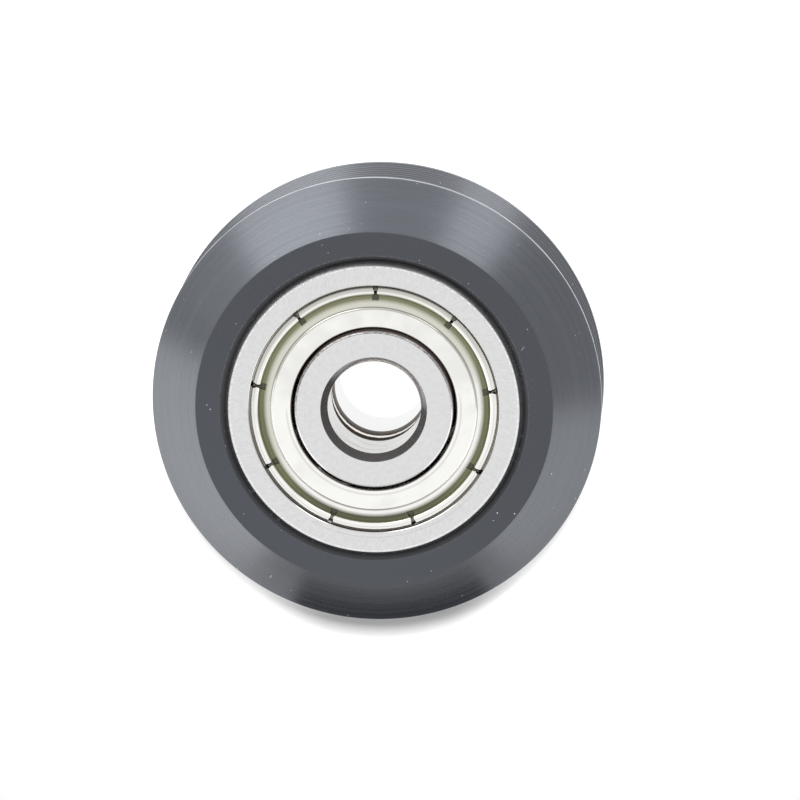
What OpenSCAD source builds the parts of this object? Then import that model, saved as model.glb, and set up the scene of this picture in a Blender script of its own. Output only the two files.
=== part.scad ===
// V groove wheel on two shielded ball bearings, in millimetres.
// The axis is Z. The wheel lies on the ring faces of its rear bearing, at z = 0.

/* [Wheel] */
// Diameter over the two crests
wheel_od = 24.2; // [23:0.1:28]
// Width between the two flat side faces
wheel_w = 10.7; // [9.8:0.1:13]
// Radial height and axial length of each 45 degree outer bevel
bevel = 2.55; // [1.6:0.05:2.9]
// Width of the narrow land left along each crest
crest_land = 0.3; // [0.05:0.05:0.4]
// Width of the flat at the bottom of the V groove
root_w = 0.6; // [0.3:0.1:1.5]
// Thickness of the rib between the two bearing seats
rib_t = 1; // [0.6:0.1:1.6]
// Bore through that rib
rib_bore = 13.9; // [13:0.1:15]
// Radial width of the chamfer at the mouth of each bearing seat
mouth_chamfer_w = 0.27; // [0.1:0.01:0.4]
// Length of that chamfer along the axis
mouth_chamfer_l = 0.5; // [0.1:0.05:0.8]
// Narrow break along the edge between a side face and its bevel
edge_break = 0.06; // [0.02:0.01:0.15]

/* [Bearing rings] */
// Bore of the inner rings, for the axle bolt
bearing_bore = 5; // [4.6:0.1:5.4]
// Outer diameter of the outer rings, the same as the seats in the wheel
bearing_od = 16; // [15.6:0.1:16.6]
// Width of each bearing
bearing_w = 5; // [4.8:0.1:5.6]
// Radial width of the chamfer at each end of the bore
bore_chamfer_w = 0.35; // [0.1:0.05:0.6]
// Length of that chamfer along the axis
bore_chamfer_l = 0.65; // [0.2:0.05:0.9]
// Radial width of the chamfer round each outer ring
rim_chamfer_w = 0.22; // [0.1:0.02:0.4]
// Length of that chamfer along the axis
rim_chamfer_l = 0.45; // [0.1:0.05:0.8]
// Radial distance from the ball circle to each ring's shoulder
shoulder_gap = 1; // [0.9:0.05:1.15]
// Small chamfer on each inner ring's shoulder
shoulder_chamfer = 0.15; // [0.05:0.01:0.2]

/* [Balls and raceways] */
// Diameter of a ball
ball_d = 3.175; // [2.9:0.025:3.2]
// Radial clearance between a ball and each raceway
ball_play = 0.01; // [0.005:0.005:0.03]
// Raceway radius as a share of the ball's diameter
conformity = 0.52; // [0.51:0.005:0.54]

/* [Cages] */
// Thickness of the cage's pressed sheet
cage_t = 0.22; // [0.15:0.01:0.25]
// Clearance between a ball and its pocket
pocket_play = 0.05; // [0.03:0.01:0.08]
// Radial width of the cage's ribbon
ribbon_w = 1.5; // [1.2:0.1:1.6]
// Diameter of a rivet's shank
rivet_d = 0.6; // [0.4:0.05:0.7]
// Diameter of a rivet's head
rivet_head_d = 0.95; // [0.8:0.05:1.1]
// Height of a rivet's head
rivet_head_h = 0.16; // [0.1:0.02:0.2]

/* [Shields] */
// Thickness of the shield's sheet
shield_t = 0.2; // [0.15:0.01:0.22]
// Running gap between a shield and the inner ring
shield_gap = 0.21; // [0.1:0.01:0.4]
// Depth of the shield's flat below the ring faces
shield_recess = 0.12; // [0.08:0.01:0.16]
// Depth of the small step round the flat
flat_step = 0.05; // [0.02:0.01:0.08]
// Depth of the pressed channel below the flat
channel_drop = 0.2; // [0.12:0.01:0.22]
// Radial distance from the lip to the end of the flat
flat_end = 1.15; // [1.03:0.01:1.28]
// Radial distance from the lip to the top of the channel's inner wall
wall_top = 0.89; // [0.83:0.01:0.93]
// Radial distance from the lip to the inner side of the channel's floor
floor_in = 0.73; // [0.68:0.01:0.78]
// Radial distance from the lip to the outer side of the channel's floor
floor_out = 0.63; // [0.58:0.01:0.66]
// Radial distance from the lip to the inner side of the rolled crown
crown_in = 0.45; // [0.4:0.01:0.5]
// Radial distance from the lip to the outer side of the rolled crown
crown_out = 0.25; // [0.23:0.01:0.32]
// Radial distance from the lip to the foot of the crown's outer wall
crown_foot = 0.22; // [0.18:0.01:0.23]
// Depth of the shield's flat edge below the channel
edge_drop = 0.12; // [0.05:0.01:0.2]
// Clearance round the shield's edge in its seat
seat_play = 0.02; // [0.01:0.01:0.05]
// Number of slots cut in the rolled edge
slot_count = 9; // [3:1:12]
// Width of a slot
slot_w = 0.38; // [0.2:0.02:0.6]
// Radial distance from the lip to the inner end of a slot
slot_in = 0.82; // [0.68:0.01:0.93]
// Turn of the first slot from +Y, clockwise seen from the front
slot_turn = 1.2; // [0:0.1:40]
// Wall of the outer ring outside the lip that holds the shield
lip_wall = 1.31; // [1.22:0.01:1.37]
// Undercut behind that lip
lip_undercut = 0.14; // [0.08:0.01:0.18]
// Thickness of that lip
lip_t = 0.38; // [0.2:0.01:0.4]
// Chamfer on that lip
lip_chamfer = 0.05; // [0.02:0.01:0.15]
// Fall of the sloped ledge under the shield, from the undercut to the shoulder
ledge_fall = 0.35; // [0.1:0.05:0.5]

/* [Washer] */
// Outer diameter of the washer between the inner rings
washer_od = 10; // [8.5:0.1:11]
// Bore of that washer
washer_bore = 5.2; // [5.1:0.05:5.6]

/* [Hidden] */
$fn = 96;

// The two bearings and the washer make a stack, centred in the wheel.
stack_h = 2 * bearing_w + rib_t;
mid_z = max(stack_h, wheel_w) / 2;
front_z = mid_z + rib_t / 2;
rear_z = mid_z - rib_t / 2 - bearing_w;

// Radii of a bearing, from the axis outwards
bore_r = bearing_bore / 2;
seat_r = bearing_od / 2;
ball_circle_r = (bore_r + seat_r) / 2;
inner_shoulder_r = ball_circle_r - shoulder_gap;
outer_shoulder_r = ball_circle_r + shoulder_gap;
lip_r = seat_r - lip_wall;
undercut_r = lip_r + lip_undercut;

// Balls and raceways
ball_count = 6;
ball_pitch = 360 / ball_count;
race_r = conformity * ball_d;
race_offset = race_r - ball_d / 2 - ball_play;

// Depths below the ring face of the middle of the shield's sheet
flat_depth = shield_recess + shield_t / 2;
channel_depth = flat_depth + channel_drop;
edge_depth = channel_depth + edge_drop;
ledge_depth = edge_depth + shield_t / 2 + seat_play;

// Middle of the sheet at the shield's outer edge
edge_r = undercut_r - seat_play - shield_t / 2;

// Wheel
crest_r = wheel_od / 2;
face_r = crest_r - bevel;
groove_d = (wheel_w - 2 * (bevel + crest_land) - root_w) / 2;
pocket_r = ball_d / 2 + pocket_play;

eps = 0.01;
plastic = [0.25, 0.26, 0.28];
steel = [0.86, 0.86, 0.87];
zinc = [0.93, 0.92, 0.82];
ball_steel = [0.8, 0.81, 0.83];

// Section of a ring with its corners cut: chamfers are [radial width, axial length].
module ring_section(r_in, r_out, h, cut_in, cut_out) {
    polygon([
        [r_in, cut_in[1]], [r_in + cut_in[0], 0],
        [r_out - cut_out[0], 0], [r_out, cut_out[1]],
        [r_out, h - cut_out[1]], [r_out - cut_out[0], h],
        [r_in + cut_in[0], h], [r_in, h - cut_in[1]]
    ]);
}

// Draws its children at both sides of a bearing's middle plane.
module both_sides() {
    children();
    translate([0, bearing_w]) mirror([0, 1]) children();
}

// Sheet of even thickness along a path, with round bends.
module sheet_section(path, t) {
    for (p = path) translate(p) circle(d = t, $fn = 32);
    for (k = [1:len(path) - 1]) {
        step = path[k] - path[k - 1];
        translate(path[k - 1]) rotate(atan2(step[1], step[0]))
            translate([0, -t / 2]) square([norm(step), t]);
    }
}

// Wheel

// Outside of the wheel: side faces, bevels, crests and the V groove between them.
module tread_section() {
    groove_top = wheel_w / 2 + root_w / 2 + groove_d;
    groove_bottom = wheel_w / 2 - root_w / 2 - groove_d;
    face_edge_r = face_r - edge_break;
    bevel_start = [face_r + edge_break / sqrt(2), edge_break / sqrt(2)];
    root_r = crest_r - groove_d;
    polygon([
        [rib_bore / 2, 0], [face_edge_r, 0], bevel_start, [crest_r, bevel],
        [crest_r, groove_bottom], [root_r, groove_bottom + groove_d],
        [root_r, groove_top - groove_d], [crest_r, groove_top],
        [crest_r, wheel_w - bevel], [bevel_start[0], wheel_w - bevel_start[1]],
        [face_edge_r, wheel_w], [rib_bore / 2, wheel_w]
    ]);
}

// Bearing seat with its chamfered mouth, cut from the rear side face.
module seat_section() {
    depth = (wheel_w - rib_t) / 2;
    polygon([
        [0, -eps], [seat_r + mouth_chamfer_w, -eps], [seat_r + mouth_chamfer_w, 0],
        [seat_r, mouth_chamfer_l], [seat_r, depth], [0, depth]
    ]);
}

module wheel() {
    color(plastic) translate([0, 0, mid_z - wheel_w / 2]) rotate_extrude() difference() {
        tread_section();
        seat_section();
        translate([0, wheel_w]) mirror([0, 1]) seat_section();
    }
}

// Washer that carries the clamping load from one inner ring to the other.
module washer() {
    color(steel) translate([0, 0, mid_z - rib_t / 2]) difference() {
        cylinder(d = washer_od, h = rib_t);
        translate([0, 0, -eps]) cylinder(d = washer_bore, h = rib_t + 2 * eps);
    }
}

// Bearings, each drawn from z = 0 to z = bearing_w

module raceway_section(side) {
    translate([ball_circle_r - side * race_offset, bearing_w / 2]) circle(r = race_r);
}

module inner_ring() {
    color(steel) rotate_extrude() difference() {
        ring_section(bore_r, inner_shoulder_r, bearing_w,
            [bore_chamfer_w, bore_chamfer_l], [shoulder_chamfer, shoulder_chamfer]);
        raceway_section(-1);
    }
}

// Seat of a shield: a lip at the ring face, an undercut behind it and a sloped ledge.
module shield_seat_section() {
    polygon([
        [0, -eps], [lip_r + lip_chamfer + eps, -eps], [lip_r, lip_chamfer], [lip_r, lip_t],
        [undercut_r, lip_t + lip_undercut / 2], [undercut_r, ledge_depth],
        [outer_shoulder_r, ledge_depth + ledge_fall], [0, ledge_depth + ledge_fall]
    ]);
}

module outer_ring() {
    color(steel) rotate_extrude() difference() {
        ring_section(outer_shoulder_r, seat_r, bearing_w, [0, 0], [rim_chamfer_w, rim_chamfer_l]);
        raceway_section(1);
        both_sides() shield_seat_section();
    }
}

// Turns a piece that is drawn for a bearing's lower face over to its upper face.
module at_face(face) {
    if (face == "upper") translate([0, 0, bearing_w]) mirror([0, 0, 1]) children();
    else children();
}

// Shield: a flat, a pressed channel, and a slotted rolled edge sprung under the lip.
module shield(face) {
    color(zinc) at_face(face) difference() {
        rotate_extrude() intersection() {
            sheet_section([
                [inner_shoulder_r, flat_depth], [lip_r - flat_end, flat_depth],
                [lip_r - flat_end + flat_step, flat_depth + flat_step],
                [lip_r - wall_top, flat_depth + flat_step],
                [lip_r - floor_in, channel_depth], [lip_r - floor_out, channel_depth],
                [lip_r - crown_in, flat_depth], [lip_r - crown_out, flat_depth],
                [lip_r - crown_foot, edge_depth], [edge_r, edge_depth]
            ], shield_t);
            translate([inner_shoulder_r + shield_gap, 0]) square([seat_r, bearing_w]);
        }
        for (k = [0:slot_count - 1])
            rotate(90 - slot_turn - k * 360 / slot_count)
                translate([lip_r - slot_in, -slot_w / 2, -eps]) cube([seat_r, slot_w, bearing_w]);
    }
}

// Draws its children at each ball's place, or midway between the balls for half = 0.5.
module round_ball_circle(half = 0) {
    for (k = [0:ball_count - 1])
        rotate((k + half) * ball_pitch) translate([ball_circle_r, 0, bearing_w / 2]) children();
}

// Half of the ribbon cage, on one side of the middle plane: a flat ribbon with round pockets.
module cage_half(face) {
    color(steel) at_face(face) difference() {
        intersection() {
            union() {
                translate([0, 0, bearing_w / 2 - cage_t]) cylinder(r = seat_r, h = cage_t);
                round_ball_circle() sphere(r = pocket_r + cage_t);
            }
            cylinder(r = ball_circle_r + ribbon_w / 2, h = bearing_w / 2);
        }
        translate([0, 0, -eps]) cylinder(r = ball_circle_r - ribbon_w / 2, h = bearing_w);
        round_ball_circle() sphere(r = pocket_r);
        round_ball_circle(0.5) cylinder(d = rivet_d, h = bearing_w, center = true);
    }
}

module rivet() {
    shank_h = 2 * cage_t;
    cylinder(d = rivet_d, h = shank_h, center = true);
    for (m = [0, 1]) mirror([0, 0, m]) translate([0, 0, cage_t])
        cylinder(d1 = rivet_head_d, d2 = rivet_d, h = rivet_head_h);
}

module cage_rivets() {
    color(steel) round_ball_circle(0.5) rivet();
}

module ball(n) {
    color(ball_steel) rotate((n - 1) * ball_pitch)
        translate([ball_circle_r, 0, bearing_w / 2]) sphere(d = ball_d);
}

wheel();
washer();

// The front bearing's outer side is its upper face, and the rear bearing's is its lower face.
for (b = [["front", front_z, "upper", "lower"], ["rear", rear_z, "lower", "upper"]])
    translate([0, 0, b[1]]) {
        outer_ring();
        inner_ring();
        shield(b[2]);
        shield(b[3]);
        cage_half(b[2]);
        cage_half(b[3]);
        cage_rivets();
        for (n = [1:ball_count])
            ball(n);
    }
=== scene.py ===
import collections
import math

import bmesh
import bpy
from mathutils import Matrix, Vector

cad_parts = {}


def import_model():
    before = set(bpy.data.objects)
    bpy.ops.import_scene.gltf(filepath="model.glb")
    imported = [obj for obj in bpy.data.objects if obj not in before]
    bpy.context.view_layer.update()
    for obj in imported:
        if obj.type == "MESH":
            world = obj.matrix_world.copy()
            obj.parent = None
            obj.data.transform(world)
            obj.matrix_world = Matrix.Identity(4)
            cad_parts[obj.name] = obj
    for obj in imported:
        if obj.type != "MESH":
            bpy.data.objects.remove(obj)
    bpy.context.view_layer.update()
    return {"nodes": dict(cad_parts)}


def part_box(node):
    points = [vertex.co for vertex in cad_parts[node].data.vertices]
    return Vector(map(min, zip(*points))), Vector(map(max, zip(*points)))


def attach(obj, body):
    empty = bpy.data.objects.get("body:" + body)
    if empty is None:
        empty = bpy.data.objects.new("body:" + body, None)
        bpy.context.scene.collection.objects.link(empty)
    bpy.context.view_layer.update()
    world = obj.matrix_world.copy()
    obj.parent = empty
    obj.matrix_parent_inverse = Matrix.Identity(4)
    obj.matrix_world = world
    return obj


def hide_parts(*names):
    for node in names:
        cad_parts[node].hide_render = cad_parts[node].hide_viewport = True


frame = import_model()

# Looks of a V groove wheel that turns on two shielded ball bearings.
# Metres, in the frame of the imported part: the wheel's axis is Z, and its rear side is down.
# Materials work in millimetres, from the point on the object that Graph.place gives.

MM = 0.001
NODES = frame["nodes"]
SIDES = ("front", "rear")


# ---------------------------------------------------------------- node graphs

Place = collections.namedtuple("Place", "point radius z angle")


class Graph:
    """A short way to write a material's or the world's nodes."""

    def __init__(self, tree):
        self.tree = tree
        tree.nodes.clear()

    def add(self, kind, inputs=None, **settings):
        node = self.tree.nodes.new(kind)
        for name, value in settings.items():
            setattr(node, name, value)
        for name, value in (inputs or {}).items():
            self.feed(node.inputs[name], value)
        return node

    def feed(self, socket, value):
        if isinstance(value, bpy.types.NodeSocket):
            self.tree.links.new(value, socket)
        else:
            socket.default_value = value

    def math(self, operation, *values):
        node = self.add("ShaderNodeMath", operation=operation)
        for socket, value in zip(node.inputs, values):
            self.feed(socket, value)
        return node.outputs[0]

    def fold(self, operation, values):
        total = values[0]
        for value in values[1:]:
            total = self.math(operation, total, value)
        return total

    def plus(self, *values):
        return self.fold("ADD", values)

    def times(self, *values):
        return self.fold("MULTIPLY", values)

    def most(self, *values):
        return self.fold("MAXIMUM", values)

    def minus(self, first, second):
        return self.math("SUBTRACT", first, second)

    def rest(self, value):
        """What a value leaves of 1."""
        return self.minus(1.0, value)

    def scaled(self, value, by, add):
        return self.math("MULTIPLY_ADD", value, by, add)

    def span(self, value, low, high, to_low=0.0, to_high=1.0, smooth=True):
        """value from low..high mapped to to_low..to_high, held at the ends."""
        node = self.add("ShaderNodeMapRange", clamp=True,
                        interpolation_type="SMOOTHSTEP" if smooth else "LINEAR")
        for name, v in (("Value", value), ("From Min", low), ("From Max", high),
                        ("To Min", to_low), ("To Max", to_high)):
            self.feed(node.inputs[name], v)
        return node.outputs[0]

    def below(self, value, low, high):
        """1 where value lies below low, falling to 0 at high."""
        return self.span(value, low, high, 1.0, 0.0)

    def between(self, value, low, high, soft):
        """1 where value lies between low and high, falling to 0 over soft on both sides."""
        return self.times(self.span(value, low - soft, low), self.below(value, high, high + soft))

    def mix(self, factor, first, second):
        """Colour between two colours."""
        node = self.add("ShaderNodeMix", data_type="RGBA")
        self.feed(node.inputs[0], factor)
        self.feed(node.inputs[6], first)
        self.feed(node.inputs[7], second)
        return node.outputs[2]

    def noise(self, vector=None, w=None, scale=1.0, detail=2.0, rough=0.5):
        """Noise from 0 to 1 about 0.5, over a vector or along one number."""
        node = self.add("ShaderNodeTexNoise", noise_dimensions="3D" if w is None else "1D")
        self.feed(node.inputs["Scale"], scale)
        self.feed(node.inputs["Detail"], detail)
        self.feed(node.inputs["Roughness"], rough)
        if w is None:
            self.feed(node.inputs["Vector"], vector)
        else:
            self.feed(node.inputs["W"], w)
        return node.outputs[0]

    def stretched(self, vector, turn, size):
        """The vector turned about Z by some degrees, then scaled per axis."""
        turned = self.add("ShaderNodeVectorRotate", {"Vector": vector, "Angle": math.radians(turn)},
                          rotation_type="Z_AXIS")
        scaled = self.add("ShaderNodeVectorMath", operation="MULTIPLY")
        self.feed(scaled.inputs[0], turned.outputs[0])
        self.feed(scaled.inputs[1], size)
        return scaled.outputs[0]

    def place(self):
        """The point on the object in millimetres: vector, radius, height, and angle round Z."""
        at = self.add("ShaderNodeTexCoord").outputs["Object"]
        scaled = self.add("ShaderNodeVectorMath", {"Scale": 1 / MM}, operation="SCALE")
        self.feed(scaled.inputs[0], at)
        split = self.add("ShaderNodeSeparateXYZ", {"Vector": scaled.outputs[0]})
        x, y, z = split.outputs
        radius = self.math("SQRT", self.plus(self.times(x, x), self.times(y, y)))
        return Place(scaled.outputs[0], radius, z, self.math("ARCTAN2", y, x))

    def facing(self, at, azimuth):
        """1 on the side of the axis that lies at this azimuth in degrees, -1 opposite to it."""
        return self.math("COSINE", self.minus(at.angle, math.radians(azimuth)))

    def surface(self, height, strength, distance, **inputs):
        """A Principled surface with this bump, joined to the material's output."""
        bump = self.add("ShaderNodeBump",
                        {"Strength": strength, "Distance": distance, "Height": height})
        shader = self.add("ShaderNodeBsdfPrincipled", {"Normal": bump.outputs[0]})
        for name, value in inputs.items():
            self.feed(shader.inputs[name.replace("_", " ")], value)
        self.add("ShaderNodeOutputMaterial", {"Surface": shader.outputs[0]})


def material(name):
    """A new material and the graph of its nodes."""
    made = bpy.data.materials.new(name)
    made.use_nodes = True
    return made, Graph(made.node_tree)


def rgb(red, green, blue):
    return (red, green, blue, 1.0)


# ---------------------------------------------------------------- materials

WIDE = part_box("front_outer_ring")[1].x / MM       # radius of the outer rings and of their seats
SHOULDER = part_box("front_inner_ring")[1].x / MM   # radius of the inner rings' shoulders
MIDDLE = (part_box("wheel")[0].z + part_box("wheel")[1].z) / 2 / MM   # height of the wheel's middle


def depth_below_face(g, at):
    """How far a point lies below the ring faces, on either side, in millimetres."""
    return g.minus(MIDDLE, g.math("ABSOLUTE", g.minus(at.z, MIDDLE)))


def strokes(g, at, spacing, length, slant, at_radius):
    """Fine straight marks across a ring's face, turned away from the radius by slant degrees."""
    twist = math.tan(math.radians(slant)) / at_radius
    a = g.plus(at.angle, g.times(at.radius, twist))
    around = at_radius / spacing
    where = g.add("ShaderNodeCombineXYZ", {
        "X": g.times(g.math("COSINE", a), around), "Y": g.times(g.math("SINE", a), around),
        "Z": g.times(at.radius, 1 / length)})
    return g.noise(where.outputs[0], rough=0.6)


def flecks(g, at, size, spacing, turn=0.0, stretch=1.0):
    """1 on small flecks, about one in each cube of spacing mm, else 0."""
    grid = g.stretched(at.point, turn, (1 / spacing, stretch / spacing, stretch / spacing))
    cells = g.add("ShaderNodeTexVoronoi", {"Vector": grid, "Scale": 1.0}, feature="F1")
    edge = size / spacing
    return g.below(cells.outputs["Distance"], 0.6 * edge, edge)


def wheel_dust(g, at, above, waver):
    """Dust on the turned faces, less of it on the upper side, and grit along the seat's mouth."""
    speck = flecks(g, at, 0.035, 0.72)
    scratch = flecks(g, at, 0.035, 1.1, turn=35, stretch=0.16)
    dust = g.times(g.most(speck, g.times(scratch, 0.5)), g.span(above, 0.0, 1.0, 1.0, 0.4))
    grit = g.times(flecks(g, at, 0.045, 0.28), g.between(at.radius, WIDE + 0.02, WIDE + 0.10, 0.04),
                   g.span(waver, 0.45, 0.6))
    return g.most(dust, g.times(grit, 0.45))


def wheel_plastic():
    """Turned grey-black plastic: fine rings, sharper in the groove, a crest edge pale with wear and
    a painted highlight, painted sheen on the face, painted light and shade in the seat's mouth, and
    dust.
    """
    made, g = material("turned_plastic")
    at = g.place()
    low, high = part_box("wheel")
    half, crest = (high.z - low.z) / 2 / MM, high.x / MM
    crest_depth, thread_pitch = 2.85, 0.092
    height = g.math("ABSOLUTE", g.minus(at.z, MIDDLE))
    groove = g.below(height, half - crest_depth + 0.02, half - crest_depth + 0.05)
    face = g.span(height, half - 0.03, half - 0.01)
    above = g.span(g.math("SINE", at.angle), -0.5, 0.5)
    waver, grain = g.noise(at.point, scale=0.7), g.noise(at.point, scale=9.0, detail=1.0)

    # the rings that turning left, over a number that changes along every turned face
    along = g.plus(at.radius, g.times(height, 0.3))
    fine = g.noise(w=g.plus(along, g.times(waver, 0.06)), scale=9.0, detail=3.0, rough=0.7)
    broad = g.noise(w=along, scale=1.6)
    thread = g.scaled(g.math("SINE", g.times(at.radius, 2 * math.pi / thread_pitch)), 0.3, 0.5)
    in_groove = g.plus(g.times(thread, 0.7), g.times(fine, 0.3))
    rings = g.plus(g.times(fine, g.rest(groove)), g.times(groove, in_groove))

    tone = g.plus(g.times(broad, 0.4), g.plus(g.times(fine, 0.35), g.times(grain, 0.25)))
    turned = g.mix(g.span(tone, 0.3, 0.7), rgb(0.016, 0.018, 0.022), rgb(0.032, 0.034, 0.040))
    ribbed = g.mix(g.span(rings, 0.35, 0.65), rgb(0.003, 0.003, 0.004), rgb(0.065, 0.067, 0.071))
    flat = g.mix(g.span(grain, 0.3, 0.7), rgb(0.011, 0.012, 0.015), rgb(0.016, 0.017, 0.021))
    # painted sheen: the face is lighter towards the lower left
    flat = g.mix(g.span(g.facing(at, 240), -0.4, 1.0), flat, rgb(0.019, 0.021, 0.026))
    colour = g.mix(face, g.mix(groove, turned, ribbed), flat)

    # the chamfer at the seat's mouth: dusty, with painted shade on its lower side and painted light
    # on its upper side
    mouth = g.below(g.plus(at.radius, g.span(grain, 0.3, 0.7, -0.03, 0.03)),
                    WIDE + 0.27, WIDE + 0.31)
    colour = g.mix(mouth, colour, g.mix(above, rgb(0.026, 0.026, 0.028), rgb(0.066, 0.066, 0.070)))
    # the front crest's edge, pale with wear and with a painted highlight
    worn = g.times(g.span(at.radius, crest - 0.03, crest - 0.005),
                   g.span(at.z, MIDDLE, MIDDLE + 0.5), g.span(waver, 0.3, 0.6, 0.35, 0.75))
    colour = g.mix(worn, colour, rgb(0.34, 0.36, 0.40))
    colour = g.mix(wheel_dust(g, at, above, waver), colour, rgb(0.78, 0.80, 0.83))

    rough = g.minus(g.span(fine, 0.3, 0.7, 0.26, 0.33), g.times(face, 0.11))
    tangent = g.add("ShaderNodeTangent", direction_type="RADIAL", axis="Z")
    g.surface(rings, 0.4, 0.010 * MM, Base_Color=colour,
              Roughness=g.plus(rough, g.times(mouth, 0.25)), Anisotropic=0.3,
              Anisotropic_Rotation=0.25, Tangent=tangent.outputs[0], Specular_IOR_Level=1.0,
              Specular_Tint=rgb(0.86, 0.91, 1.0))
    return made


def ring_face(g, at, lines):
    """The rings' ground faces with their dull edges, painted shade in the gap, on the lip and on
    the ledge, and a painted highlight line.

    Returns the colour, where it is less metallic, and where it is rougher.
    """
    blotch = g.noise(at.point, scale=4.0, detail=4.0, rough=0.7)
    pits = g.span(g.noise(at.point, scale=6.0, detail=3.0, rough=0.7), 0.42, 0.58)
    above = g.facing(at, 100)
    side = g.span(above, -0.4, 0.7, 0.2, 1.0)
    tone = g.plus(g.times(lines, 0.5), g.times(blotch, 0.5))
    colour = g.mix(g.span(tone, 0.3, 0.7), rgb(0.67, 0.67, 0.675), rgb(0.775, 0.775, 0.775))
    # the shoulder's chamfer is tumbled, and the rim's is rubbed, both darker towards the top, with
    # a painted highlight line beside the rim's
    tumbled = g.times(g.span(above, -0.3, 0.4, 0.25, 1.0),
                      g.between(at.radius, SHOULDER - 0.115, SHOULDER + 0.02, 0.01))
    colour = g.mix(tumbled, colour, g.mix(pits, rgb(0.16, 0.16, 0.16), rgb(0.32, 0.32, 0.32)))
    rubbed = g.times(side, g.span(at.radius, WIDE - 0.38, WIDE - 0.20))
    colour = g.mix(rubbed, colour, rgb(0.42, 0.42, 0.42))
    # painted highlight: a bright line along the rim's edge
    bright = g.times(g.between(at.radius, WIDE - 0.31, WIDE - 0.27, 0.03),
                     g.span(pits, 0.0, 1.0, 0.3, 1.0))
    colour = g.mix(bright, colour, rgb(0.93, 0.93, 0.93))
    # painted shade down the gap to the shield, and a faint turned line on the lower side
    gap_shade = g.times(g.between(at.radius, SHOULDER - 0.05, SHOULDER + 0.02, 0.01),
                    g.span(depth_below_face(g, at), 0.04, 0.12))
    colour = g.mix(gap_shade, colour, rgb(0.24, 0.20, 0.18))
    turned = g.times(g.between(at.radius, 6.95, 6.98, 0.02), g.span(above, -0.6, -0.9, 0.0, 0.3))
    colour = g.mix(turned, colour, rgb(0.40, 0.39, 0.38))
    # the shield's seat: painted shade on the lip, deepest on the lower side, and painted shade on
    # the ledge that shows in the slots
    lip = WIDE - LIP_WALL / MM
    colour = g.mix(g.between(at.radius, lip - 0.1, lip + 0.01, 0.07), colour,
                   g.mix(side, rgb(0.30, 0.28, 0.27), rgb(0.48, 0.47, 0.45)))
    ledge = g.between(at.radius, lip - 0.42, lip - 0.12, 0.02)
    colour = g.mix(ledge, colour, rgb(0.24, 0.235, 0.19))
    return colour, g.most(ledge, gap_shade), g.plus(rubbed, tumbled)


def ring_bore(g, at, colour):
    """The bore's chamfers with painted light and shade, painted shade on the walls next to the
    washer, and walls with ground rings, the rear ones painted lighter.

    Returns the colour, where it is less metallic, and where shade is painted near black.
    """
    mouth = g.below(at.radius, 2.84, 2.86)
    wall = g.below(at.radius, 2.505, 2.515)
    outside = g.below(depth_below_face(g, at), 0.7, 0.8)
    off_middle = g.math("ABSOLUTE", g.minus(at.z, MIDDLE))
    # painted light and shade on the outer chamfers: bright on the side towards the upper right,
    # dark brown on the other; painted shade on the inner chamfers, darkest nearest the middle
    lit = g.span(g.facing(at, 72), 0.2, 0.8)
    outer_mouth_light_and_shade = g.mix(lit, rgb(0.086, 0.079, 0.080), rgb(1.0, 0.97, 0.97))
    inner_mouth = g.mix(g.span(off_middle, 0.65, 1.1),
                        rgb(0.03, 0.025, 0.02), rgb(0.22, 0.20, 0.18))
    colour = g.mix(mouth, colour, g.mix(outside, inner_mouth, outer_mouth_light_and_shade))
    rings = g.noise(g.stretched(at.point, 0, (0.6, 0.6, 14.0)), detail=3.0, rough=0.7)
    # the rear walls are painted lighter than the front ones, as painted light
    front = g.mix(g.span(rings, 0.35, 0.62), rgb(0.38, 0.375, 0.37), rgb(0.71, 0.71, 0.70))
    rear = g.mix(rings, rgb(0.80, 0.80, 0.81), rgb(0.95, 0.95, 0.95))
    colour = g.mix(wall, colour, g.mix(g.span(at.z, 4.3, 4.9), rear, front))
    # painted shade, near black, on the front walls next to the washer
    bore_shade = g.times(wall, g.between(at.z, 6.5, 7.0, 0.1))
    colour = g.mix(bore_shade, colour, rgb(0.02, 0.015, 0.012))
    dim = g.times(mouth, outside, g.rest(g.times(lit, 0.7)), g.rest(wall))
    return colour, dim, bore_shade


def ring_steel():
    """Ground bearing steel: satin faces, duller tumbled chamfers, and a ground bore with painted
    light and shade.
    """
    made, g = material("ground_steel")
    at = g.place()
    marks = strokes(g, at, spacing=0.06, length=0.5, slant=24, at_radius=7.2)
    lines = g.scaled(g.minus(marks, 0.5), g.span(at.radius, 2.9, 4.0), 0.5)
    colour, dull, worn = ring_face(g, at, lines)
    colour, dim, bore_shade = ring_bore(g, at, colour)
    rough = g.plus(g.span(lines, 0.3, 0.7, 0.12, 0.18), g.times(worn, 0.2), g.times(bore_shade, 0.6))
    plain = g.most(g.times(g.most(dim, dull), 0.8), bore_shade)
    g.surface(lines, 0.12, 0.003 * MM, Base_Color=colour, Roughness=rough, Metallic=g.rest(plain))
    return made


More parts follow.
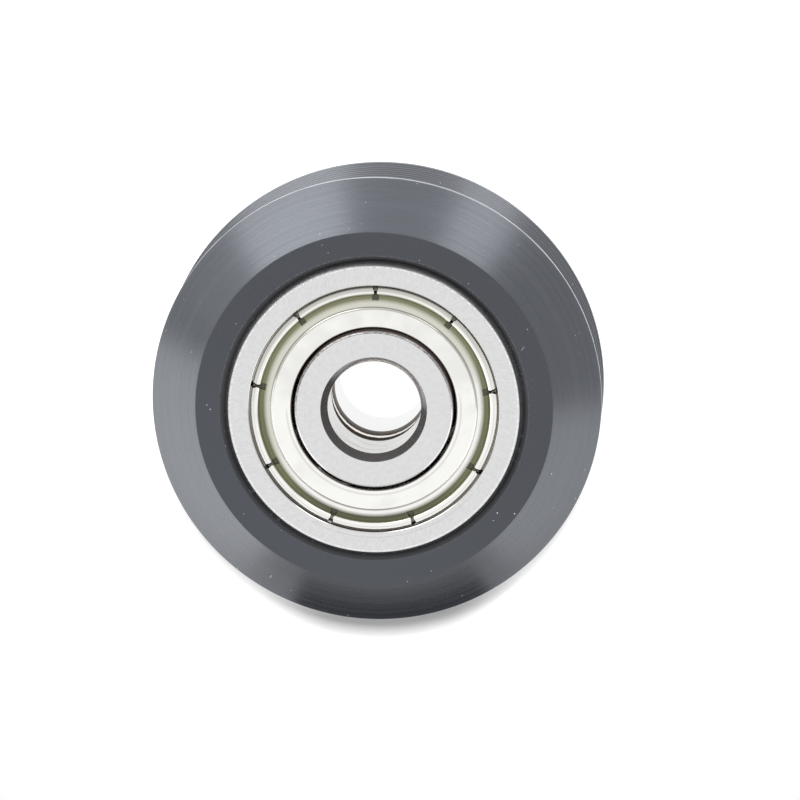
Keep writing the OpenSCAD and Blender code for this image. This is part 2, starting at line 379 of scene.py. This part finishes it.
def shield_sheet(g, at, side):
    """The shield's pale finish, with marks and painted shade along its bends and edges, and tones
    darker on the upper side.

    Returns the colour, and where it is less metallic.
    """
    cloud = g.noise(at.point, scale=0.8, detail=3.0)
    colour = g.mix(g.span(g.minus(cloud, g.times(side, 0.25)), 0.1, 0.6),
                   rgb(0.83, 0.825, 0.795), rgb(0.945, 0.94, 0.915))
    band = g.times(g.between(at.radius, 5.52, 6.2, 0.1),
                   g.span(g.facing(at, 115), -0.4, 0.2, 0.1, 1.0))
    colour = g.mix(band, colour, rgb(0.67, 0.66, 0.58))
    # the crown: painted shade on its outer half, strongest on the upper side, and a rubbed line
    # along its top
    outer_half = g.times(g.between(at.radius, 6.41, 6.6, 0.05), g.scaled(side, 0.72, 0.05))
    colour = g.mix(outer_half, colour, rgb(0.48, 0.475, 0.44))
    rub = g.times(g.between(at.radius, 6.41, 6.44, 0.03), g.span(cloud, 0.3, 0.6, 0.3, 0.6))
    colour = g.mix(rub, colour, rgb(0.60, 0.59, 0.54))
    # painted shade on the step round the flat, deepest on the upper side, and in its corner on the
    # upper side
    step_shade = g.between(at.radius, 5.46, 5.54, 0.03)
    colour = g.mix(step_shade, colour, g.mix(side, rgb(0.50, 0.49, 0.46), rgb(0.26, 0.255, 0.24)))
    step = g.times(side, g.between(at.radius, 5.42, 5.47, 0.04))
    colour = g.mix(step, colour, rgb(0.38, 0.38, 0.34))
    # painted shade on the hole's soft edge next to the inner ring, and a faint painted shadow line
    # round it on the lower side
    hole_edge_shade = g.below(at.radius, 4.44, 4.50)
    colour = g.mix(hole_edge_shade, colour, rgb(0.30, 0.27, 0.25))
    shadow_line = g.times(g.between(at.radius, 4.63, 4.69, 0.04), g.span(side, 0.0, 0.3, 0.35, 0.0))
    colour = g.mix(shadow_line, colour, rgb(0.45, 0.44, 0.40))
    return colour, g.times(g.most(step, hole_edge_shade), 0.5)


def shield_oil(g, at, side, colour):
    """Oil in the shield's channel, darker towards the bottom, and painted shade in its slots and on
    its rim.

    Returns the colour, and where it is less metallic.
    """
    within = g.span(g.minus(at.radius, g.times(side, 0.06)), 5.67, 5.92, smooth=False)
    until = g.below(g.plus(at.radius, g.times(g.minus(side, 0.5), 0.06)), 6.16, 6.24)
    oil = g.times(within, until)
    under = g.span(g.math("SINE", at.angle), -0.6, -0.95)
    tint = g.mix(side, rgb(0.128, 0.130, 0.068), rgb(0.165, 0.167, 0.095))
    colour = g.mix(oil, colour, g.mix(under, tint, rgb(0.080, 0.082, 0.042)))
    # painted shade, near black, on the shield where it lies deep below the faces, as seen down the
    # slots
    sunk = g.between(depth_below_face(g, at), 0.40, 1.0, 0.02)
    colour = g.mix(sunk, colour, rgb(0.055, 0.055, 0.037))
    # painted shade on the rim in its seat, deepest on the lower side
    edge = g.span(at.radius, 6.605, 6.63)
    colour = g.mix(edge, colour, g.mix(side, rgb(0.22, 0.21, 0.18), rgb(0.42, 0.41, 0.37)))
    return colour, g.times(g.most(oil, sunk), 0.7)


def shield_zinc():
    """Pressed sheet with a pale zinc finish, an oily pressed channel, and painted shade on its
    step, inner edge, crown, slots and rim.
    """
    made, g = material("zinc_sheet")
    at = g.place()
    side = g.span(g.facing(at, 95), -0.1, 0.6)
    # the second value is where shade is painted on the step and the hole's edge, made less metallic
    # there
    colour, worn = shield_sheet(g, at, side)
    colour, oily = shield_oil(g, at, side, colour)
    g.surface(g.noise(w=at.radius, scale=12.0), 0.1, 0.004 * MM, Base_Color=colour,
              Metallic=g.rest(g.most(oily, worn)), Roughness=0.17)
    return made


def cage_steel():
    """Pressed cage sheet, darker and smoother where oil lies on it."""
    made, g = material("cage_steel")
    point = g.place().point
    dry = g.span(g.noise(point, scale=1.5, detail=3.0), 0.35, 0.65)
    g.surface(g.noise(point, scale=8.0), 0.1, 0.004 * MM, Metallic=1.0,
              Base_Color=g.mix(dry, rgb(0.40, 0.39, 0.36), rgb(0.56, 0.56, 0.55)),
              Roughness=g.scaled(dry, 0.14, 0.28))
    return made


def ball_steel():
    """Polished balls with a thin film of grease in places."""
    made, g = material("ball_steel")
    point = g.place().point
    film = g.span(g.noise(point, scale=1.2), 0.4, 0.65)
    g.surface(g.noise(point, scale=5.0), 0.02, 0.002 * MM, Metallic=1.0,
              Base_Color=g.mix(film, rgb(0.74, 0.74, 0.75), rgb(0.60, 0.60, 0.57)),
              Roughness=g.scaled(film, 0.08, 0.06))
    return made


def washer_steel():
    """The washer between the inner rings: yellow plating, with painted shade in dark brown along
    its bore's rims.
    """
    made, g = material("washer_steel")
    at = g.place()
    low, high = (corner.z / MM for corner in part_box("washer"))
    z = g.plus(at.z, g.span(g.noise(at.point, scale=2.0), 0.3, 0.7, -0.05, 0.05))
    # painted shade near both ends of the bore
    washer_rim_shade = g.most(g.span(z, high - 0.42, high - 0.24), g.below(z, low + 0.06, low + 0.24))
    g.surface(g.noise(at.point, scale=8.0), 0.1, 0.004 * MM,
              Base_Color=g.mix(washer_rim_shade, rgb(1.0, 0.94, 0.86), rgb(0.03, 0.02, 0.012)),
              Metallic=g.rest(washer_rim_shade), Roughness=g.scaled(washer_rim_shade, 0.5, 0.3))
    return made


# ---------------------------------------------------------------- turned pieces

SEGMENTS = 256             # steps round the axis of a turned piece
SHARP = math.radians(25)   # a corner of a section that turns by more than this stays sharp

# sizes of the part that the frame doesn't hold
BEVEL = 2.55 * MM          # radial height and axial length of an outer bevel
CREST_LAND = 0.3 * MM      # width of the land along each crest
ROOT = 0.6 * MM            # width of the flat at the bottom of the V groove
RIB_BORE = 6.95 * MM       # radius inside the rib between the seats
MOUTH_W, MOUTH_L = 0.27 * MM, 0.5 * MM      # chamfer at the mouth of a seat
BORE = 2.5 * MM            # radius of the inner rings' bore
BORE_W, BORE_L = 0.35 * MM, 0.65 * MM       # chamfer at each end of the bore
RIM_W, RIM_L = 0.22 * MM, 0.45 * MM         # chamfer round an outer ring
OUTER_SHOULDER = 6.25 * MM                  # radius of the outer rings' shoulders
SHOULDER_CHAMFER = 0.11 * MM                # softer than the solids', as the photograph shows
BALL_CIRCLE = 5.25 * MM    # radius that the balls run on
RACE = 1.651 * MM          # radius of a raceway's section
RACE_OFFSET = 0.0535 * MM  # from the ball circle to the middle of a raceway's section
LIP_WALL = 1.31 * MM       # wall of an outer ring outside the lip that holds the shield
LIP_UNDERCUT = 0.14 * MM   # depth of the undercut behind the lip
LIP, LIP_CHAMFER = 0.38 * MM, 0.05 * MM     # thickness of the lip, and its chamfer
LIP_SLOPE = 0.07 * MM      # height of the lip's sloped back
LEDGE, LEDGE_FALL = 0.66 * MM, 0.35 * MM    # depth of the ledge under the shield, and its fall


def rounded(section, radii, steps=4):
    """The closed section with some corners rounded: radii maps a corner's index to its radius."""
    made = []
    for i, corner in enumerate(section):
        if i not in radii:
            made.append(corner)
            continue
        here = Vector(corner)
        before = (Vector(section[i - 1]) - here).normalized()
        after = (Vector(section[(i + 1) % len(section)]) - here).normalized()
        half = before.angle(after) / 2
        reach = radii[i] / math.tan(half)
        centre = here + (before + after).normalized() * (radii[i] / math.sin(half))
        first, last = here + before * reach - centre, here + after * reach - centre
        turn = first.angle_signed(last)
        for k in range(steps + 1):
            a = -turn * k / steps
            made.append(tuple(centre + Vector((
                first.x * math.cos(a) - first.y * math.sin(a),
                first.x * math.sin(a) + first.y * math.cos(a)))))
    return made


def lower_half(half, middle):
    """The mirror image below the middle of a section's upper half, in the opposite order."""
    return [(r, 2 * middle - z) for r, z in reversed(half)]


def both_ends(radii, count):
    """The same radii for both halves of a mirrored section of count corners."""
    return {**radii, **{count - 1 - i: r for i, r in radii.items()}}


def between_points(points, x):
    """The height at x of the straight lines that join the points."""
    for (x0, y0), (x1, y1) in zip(points, points[1:]):
        if x <= x1:
            return y0 + (y1 - y0) * max(0.0, x - x0) / (x1 - x0)
    return points[-1][1]


def clipped(section, cut, side):
    """The part of a closed section beyond the radius cut (side 1) or within it (side -1)."""
    made = []
    for k, (r, z) in enumerate(section):
        r_next, z_next = section[(k + 1) % len(section)]
        if (r - cut) * side >= 0:
            made.append((r, z))
        if (r - cut) * (r_next - cut) < 0:
            made.append((cut, z + (z_next - z) * (cut - r) / (r_next - r)))
    return made


def offset_path(path, by):
    """The path moved sideways by a distance, its corners mitred."""
    made = []
    for k, point in enumerate(path):
        steps = [(Vector(path[j + 1]) - Vector(path[j])).normalized() for j in (k - 1, k)
                 if 0 <= j < len(path) - 1]
        sides = [Vector((-step.y, step.x)) for step in steps]
        middle = sum(sides, Vector((0, 0))).normalized()
        made.append(tuple(Vector(point) + middle * (by / middle.dot(sides[0]))))
    return made


def sweep(work, section, start, end, steps, closed=False):
    """Sweeps a closed section about Z from the angle start(r) to the angle end(r)."""
    columns = []
    for k in range(steps if closed else steps + 1):
        column = []
        for r, z in section:
            a = start(r) + (end(r) - start(r)) * k / steps
            column.append(work.verts.new((r * math.cos(a), r * math.sin(a), z)))
        columns.append(column)
    for k in range(steps):
        here, after = columns[k], columns[(k + 1) % len(columns)]
        for i in range(len(section)):
            j = (i + 1) % len(section)
            work.faces.new((here[i], after[i], after[j], here[j])).smooth = True
    if not closed:
        work.faces.new(columns[0])
        work.faces.new(columns[-1])


def whole_turn(work, section):
    sweep(work, section, lambda r: 0.0, lambda r: 2 * math.pi, SEGMENTS, closed=True)


def finished_piece(name, work, finish, body, node):
    """The built mesh as a piece that rides on a body in place of a CAD node."""
    bmesh.ops.recalc_face_normals(work, faces=work.faces)
    for edge in work.edges:
        if edge.calc_face_angle(0) > SHARP:
            edge.smooth = False
    mesh = bpy.data.meshes.new(name)
    work.to_mesh(mesh)
    work.free()
    mesh.materials.append(finish)
    piece = bpy.data.objects.new(name, mesh)
    bpy.context.scene.collection.objects.link(piece)
    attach(piece, body)
    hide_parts(node)


def lathe(name, section, finish, body, node):
    """A closed section of (radius, height) points turned round Z, in place of a CAD node."""
    work = bmesh.new()
    whole_turn(work, section)
    finished_piece(name, work, finish, body, node)


def slotted_lathe(name, section, cut, slots, widths, web, finish, body, node):
    """A closed section turned round Z, with slots cut in from its rim to the radius cut.

    slots holds the slots' angles, and widths their width at some radii. The section is split at
    the radius cut into a full ring and, beyond it, one tongue from each slot to the next. web is
    the section of a thin sheet that closes the slots' inner ends from below; it stands for the
    shade down the slots.
    """
    work = bmesh.new()
    whole_turn(work, clipped(section, cut, -1))
    whole_turn(work, web)
    slots = sorted(slots)
    for start, end in zip(slots, slots[1:] + [slots[0] + 2 * math.pi]):
        sweep(work, clipped(section, cut, 1),
              lambda r: start + math.asin(between_points(widths, r) / 2 / r),
              lambda r: end - math.asin(between_points(widths, r) / 2 / r),
              SEGMENTS // len(slots))
    finished_piece(name, work, finish, body, node)


def turned_wheel(finish):
    """The wheel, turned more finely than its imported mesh, with softened edges."""
    low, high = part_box("wheel")
    crest, seat, rib = high.x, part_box("front_outer_ring")[1].x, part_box("washer")[1].z
    land_end = high.z - BEVEL - CREST_LAND
    groove = (high.z - low.z - 2 * (BEVEL + CREST_LAND) - ROOT) / 2
    half = [
        (RIB_BORE, rib), (seat, rib), (seat, high.z - MOUTH_L), (seat + MOUTH_W, high.z),
        (crest - BEVEL, high.z), (crest, high.z - BEVEL), (crest, land_end),
        (crest - groove, land_end - groove),
    ]
    section = half + lower_half(half, (low.z + high.z) / 2)
    radii = {3: 0.04 * MM, 4: 0.09 * MM, 5: 0.07 * MM, 6: 0.07 * MM, 7: 0.1 * MM}
    lathe("turned_wheel", rounded(section, both_ends(radii, len(section))),
          finish, "wheel", "wheel")


def raceway(shoulder, middle, side, steps=12):
    """Upper half of a raceway's section, from its bottom up to the shoulder.

    side is 1 on an outer ring, -1 on an inner ring.
    """
    centre = BALL_CIRCLE - side * RACE_OFFSET
    reach = math.acos((shoulder - centre) * side / RACE)
    angles = [reach * k / steps for k in range(steps + 1)]
    return [(centre + side * RACE * math.cos(a), middle + RACE * math.sin(a)) for a in angles]


def turned_inner_ring(side, finish):
    """An inner ring with its edges softened."""
    node = side + "_inner_ring"
    low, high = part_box(node)
    middle, shoulder = (low.z + high.z) / 2, high.x
    bottom, *race = raceway(shoulder, middle, -1)
    half = [
        (BORE, high.z - BORE_L), (BORE + BORE_W, high.z), (shoulder - SHOULDER_CHAMFER, high.z),
        (shoulder, high.z - SHOULDER_CHAMFER), *reversed(race),
    ]
    section = half + [bottom] + lower_half(half, middle)
    radii = {0: 0.15 * MM, 1: 0.012 * MM, 2: 0.12 * MM, 3: 0.12 * MM}
    lathe("turned_" + node, rounded(section, both_ends(radii, len(section))),
          finish, "hub", node)


def turned_outer_ring(side, finish):
    """An outer ring with its shield seats and its edges softened."""
    node = side + "_outer_ring"
    low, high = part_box(node)
    middle, outer, ledge = (low.z + high.z) / 2, high.x, high.z - LEDGE
    lip, undercut = outer - LIP_WALL, outer - LIP_WALL + LIP_UNDERCUT
    bottom, *race = raceway(OUTER_SHOULDER, middle, 1)
    half = [
        *race, (OUTER_SHOULDER, ledge - LEDGE_FALL), (undercut, ledge),
        (undercut, high.z - LIP - LIP_SLOPE), (lip, high.z - LIP), (lip, high.z - LIP_CHAMFER),
        (lip + LIP_CHAMFER, high.z), (outer - RIM_W, high.z), (outer, high.z - RIM_L),
    ]
    mirrored = half + lower_half(half, middle)
    chamfer = len(half) - 4   # index of the first corner of the lip's chamfer
    radii = {chamfer: 0.03 * MM, chamfer + 1: 0.03 * MM, chamfer + 2: 0.025 * MM,
             chamfer + 3: 0.12 * MM}
    lathe("turned_" + node, rounded(mirrored + [bottom], both_ends(radii, len(mirrored))),
          finish, "wheel", node)


# a shield's outside in millimetres: radius, depth below the ring face, radius of the bend
SHIELD_PATH = (
    (4.42, 0.12, 0.12), (5.43, 0.12, 0.08),                          # the flat
    (5.52, 0.20, 0.08), (5.72, 0.203, 0.30),                         # the step round it
    (5.98, 0.33, 0.12), (6.10, 0.34, 0.08),                          # the channel's floor
    (6.25, 0.14, 0.15), (6.34, 0.12, 0.15), (6.53, 0.12, 0.06), (6.61, 0.20, 0.06),   # the crown
    (6.62, 0.44, None), (6.80, 0.44, None),                          # the edge in its seat
)
SHIELD_SHEET = 0.19        # thickness of the sheet
SLOTS, SLOT_TURN = 9, 1.2  # slots, and the turn of the first one from +Y, in degrees
SLOT_END = 5.87            # radius of the slots' inner ends
SLOT_WIDTHS = ((SLOT_END, 0.36), (6.14, 0.34), (6.26, 0.17), (6.42, 0.17), (6.54, 0.30),
               (6.80, 0.36))
# the web is a thin sheet under the slots' inner ends, which stands for the shade down them
WEB_DEPTHS, WEB_RADII = (0.10, 0.16), (5.80, 6.22)   # the thin floor under the slots' inner ends


def turned_shield(side, face, finish):
    """A shield with soft bends: a flat, a steep step, a pressed channel, a crown, a slotted rim."""
    node = side + "_" + face + "_shield"
    low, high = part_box(side + "_outer_ring")
    out = 1 if (side == "front") == (face == "outer") else -1
    rim = high.z if out == 1 else low.z
    outside = [(r, depth) for r, depth, bend in SHIELD_PATH]
    bends = {k: bend for k, (r, depth, bend) in enumerate(SHIELD_PATH) if bend}
    section = rounded(outside + offset_path(outside, SHIELD_SHEET)[::-1], bends)
    top, bottom = (offset_path(outside, depth) for depth in WEB_DEPTHS)
    web = clipped(clipped(top + bottom[::-1], WEB_RADII[0], 1), WEB_RADII[1], -1)
    section, web = ([(r * MM, rim - out * depth * MM) for r, depth in points]
                    for points in (section, web))
    slots = [math.radians(90 - SLOT_TURN - 360 / SLOTS * k) for k in range(SLOTS)]
    widths = [(r * MM, width * MM) for r, width in SLOT_WIDTHS]
    slotted_lathe("turned_" + node, section, SLOT_END * MM, slots, widths, web,
                  finish, "wheel", node)


def dress_nodes():
    """Gives each CAD node the material of its slot, and builds the finer turned pieces."""
    by_slot = {
        "wheel_plastic": wheel_plastic(),
        "ring_steel": ring_steel(),
        "shield_zinc": shield_zinc(),
        "cage_steel": cage_steel(),
        "ball_steel": ball_steel(),
        "washer_steel": washer_steel(),
    }
    for node in NODES.values():
        for held in node.material_slots:
            held.material = by_slot[held.material.name.split(".")[0]]
    turned_wheel(by_slot["wheel_plastic"])
    for side in SIDES:
        turned_inner_ring(side, by_slot["ring_steel"])
        turned_outer_ring(side, by_slot["ring_steel"])
        for face in ("outer", "inner"):
            turned_shield(side, face, by_slot["shield_zinc"])


# ---------------------------------------------------------------- studio

WATTS = 4.0                # watts per square metre of a lamp for each unit of its radiance
AIM = Vector((0, 0, 6 * MM))   # the point that the lamps look at
FLOOR_RADIUS = 31 * MM
BORE_DISC_RADIUS = 2.8 * MM    # of the white disc under the bore
SEEN = ("Is Camera Ray", "Is Glossy Ray", "Is Transmission Ray")


def stage_piece(name, points, finish):
    """A flat piece of the studio, from its corners."""
    mesh = bpy.data.meshes.new(name)
    mesh.from_pydata(points, [], [list(range(len(points)))])
    mesh.materials.append(finish)
    made = bpy.data.objects.new(name, mesh)
    bpy.context.scene.collection.objects.link(made)
    return made


def disc(name, radius, z, finish, count=128):
    """A round stage piece that lies flat."""
    turns = [2 * math.pi * i / count for i in range(count)]
    stage_piece(name, [(radius * math.cos(a), radius * math.sin(a), z) for a in turns], finish)


def seen(g):
    """1 for the rays that show the background, or else 0."""
    path = g.add("ShaderNodeLightPath")
    return g.most(*(path.outputs[ray] for ray in SEEN))


def floor():
    """A pale floor with a painted glow, weakest in front, where the shadow shows, and strong enough
    at the sides to hide the shadow there.
    """
    made, g = material("floor_white")
    aside = g.math("ABSOLUTE", g.plus(g.place().angle, math.radians(89)))
    painted_glow = g.span(aside, math.radians(12), math.radians(36), 0.13, 0.50)
    shade = g.add("ShaderNodeBsdfDiffuse", {"Color": rgb(0.82, 0.82, 0.82)})
    glow = g.add("ShaderNodeEmission", {"Strength": g.times(seen(g), painted_glow)})
    both = g.add("ShaderNodeAddShader")
    g.feed(both.inputs[0], shade.outputs[0])
    g.feed(both.inputs[1], glow.outputs[0])
    g.add("ShaderNodeOutputMaterial", {"Surface": both.outputs[0]})
    disc("floor", FLOOR_RADIUS, 0.0, made)
    # painted light: a glowing disc under the bore, so that the bore shows white
    lit, g = material("floor_glow")
    glow = g.add("ShaderNodeEmission", {"Strength": 1.0})
    g.add("ShaderNodeOutputMaterial", {"Surface": glow.outputs[0]})
    disc("floor_under_bore", BORE_DISC_RADIUS, 0.01 * MM, lit)


def world():
    """White for the camera and in reflections, softer as light."""
    made = bpy.data.worlds.new("studio")
    bpy.context.scene.world = made
    made.use_nodes = True
    g = Graph(made.node_tree)
    strength = g.span(seen(g), 0.0, 1.0, 0.24, 1.0, smooth=False)
    back = g.add("ShaderNodeBackground", {"Color": rgb(1, 1, 1), "Strength": strength})
    g.add("ShaderNodeOutputWorld", {"Surface": back.outputs[0]})


def set_round(made, centre, azimuth, elevation, distance):
    """Sets a lamp or card round a point, facing it. Azimuth is turned from +X towards +Y."""
    a, e = math.radians(azimuth), math.radians(elevation)
    towards = Vector((math.cos(a) * math.cos(e), math.sin(a) * math.cos(e), math.sin(e)))
    made.location = centre + towards * distance
    made.rotation_mode = "QUATERNION"
    made.rotation_quaternion = towards.to_track_quat("Z", "Y")


def lamp(name, azimuth, elevation, distance, width, height, radiance):
    """A soft box round the object."""
    data = bpy.data.lights.new(name, "AREA")
    data.shape = "RECTANGLE"
    data.size, data.size_y = width, height
    data.energy = radiance * WATTS * width * height
    made = bpy.data.objects.new(name, data)
    set_round(made, AIM, azimuth, elevation, distance)
    made.visible_camera = False
    bpy.context.scene.collection.objects.link(made)
    return made


def card(azimuth, level, distance, width, height):
    """A dark card that only reflections show, for a dark side in what is glossy."""
    made, g = material("card")
    dark = g.add("ShaderNodeBsdfDiffuse", {"Color": rgb(0.04, 0.04, 0.04)})
    g.add("ShaderNodeOutputMaterial", {"Surface": dark.outputs[0]})
    w, h = width / 2, height / 2
    piece = stage_piece("card", [(-w, -h, 0), (w, -h, 0), (w, h, 0), (-w, h, 0)], made)
    set_round(piece, Vector((0, 0, level)), azimuth, 0, distance)
    piece.visible_camera = piece.visible_diffuse = piece.visible_shadow = False


def lights():
    # azimuth, elevation, distance, width, height, radiance
    key = lamp("key", 79, 73, 0.6, 0.06, 0.06, 250)
    key.visible_glossy = False
    lamp("left", 206, 3, 0.35, 0.42, 0.24, 1.6)
    lamp("right", -36, 5, 0.35, 0.32, 0.20, 1.15)
    lamp("back", 106, 12, 0.40, 1.3, 0.20, 0.6)
    lamp("back_left", 121, 10, 0.35, 0.23, 0.18, 2.6)
    lamp("back_right", 57, 10, 0.35, 0.12, 0.18, 2.2)
    card(272, 4.4 * MM, 20 * MM, width=18 * MM, height=8 * MM)


def camera():
    """The photograph's viewing angle: almost along the axis, a little from above."""
    tilt, lean = math.radians(11.55), math.radians(16.1)   # off the axis, and towards +X
    lens, sensor, distance = 270, 36, 0.32
    bore_right, bore_up = -1.408 * MM, -0.520 * MM   # the bore's place in the picture, sideways
    back = Vector((math.sin(tilt) * math.sin(lean), math.sin(tilt) * math.cos(lean),
                   math.cos(tilt)))
    turn = Vector((0, 0, 1)).rotation_difference(back)
    bore_mouth = Vector((0, 0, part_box("front_inner_ring")[1].z))
    data = bpy.data.cameras.new("camera")
    data.lens, data.sensor_width = lens, sensor
    data.clip_start, data.clip_end = 0.01, 10
    made = bpy.data.objects.new("camera", data)
    made.rotation_mode = "QUATERNION"
    made.rotation_quaternion = turn
    made.location = bore_mouth - turn @ Vector((bore_right, bore_up, -distance))
    bpy.context.scene.collection.objects.link(made)
    bpy.context.scene.camera = made


def main():
    dress_nodes()
    floor()
    world()
    lights()
    camera()
    bpy.context.scene.view_settings.view_transform = "Standard"


main()
